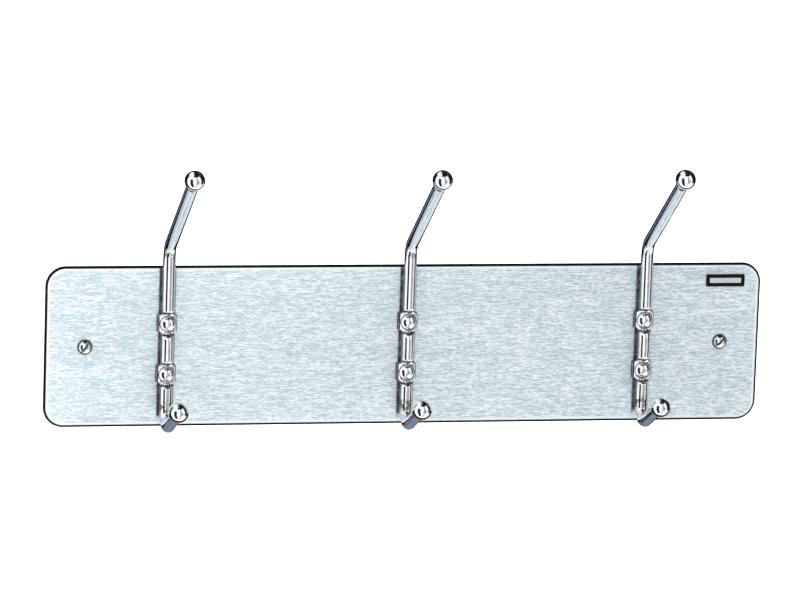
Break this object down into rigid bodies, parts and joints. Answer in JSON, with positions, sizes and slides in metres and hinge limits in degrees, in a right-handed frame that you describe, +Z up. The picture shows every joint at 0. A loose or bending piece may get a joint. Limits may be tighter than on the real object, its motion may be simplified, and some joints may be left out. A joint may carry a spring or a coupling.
{
  "type": "wall hook rack",
  "caption": "Flat wall plate with a row of fixed double hooks, each a long upper and a short lower arm with ball ends, for hanging coats and hats.",
  "frame": {"origin": "centre of the plate's back face, on the wall", "axes": "+X along the plate to the viewer's right, +Y into the wall, +Z up"},
  "size_m": [0.4572, 0.1282, 0.1771],
  "materials": {
    "plate": "satin, brushed along the plate",
    "rod": "polished",
    "ball": "polished",
    "rivet": "polished",
    "screw": "polished, lightly worn",
    "label": "semi-gloss enamel"
  },
  "bodies": {
    "root": {"backplate": "plate", "hook_rod_left": "rod", "hook_rod_middle": "rod", "hook_rod_right": "rod", "upper_ball_left": "ball", "upper_ball_middle": "ball", "upper_ball_right": "ball", "lower_ball_left": "ball", "lower_ball_middle": "ball", "lower_ball_right": "ball", "upper_rivet_left": "rivet", "upper_rivet_middle": "rivet", "upper_rivet_right": "rivet", "lower_rivet_left": "rivet", "lower_rivet_middle": "rivet", "lower_rivet_right": "rivet", "wall_screw_left": "screw", "wall_screw_right": "screw", "label": "label"}
  },
  "joints": []
}
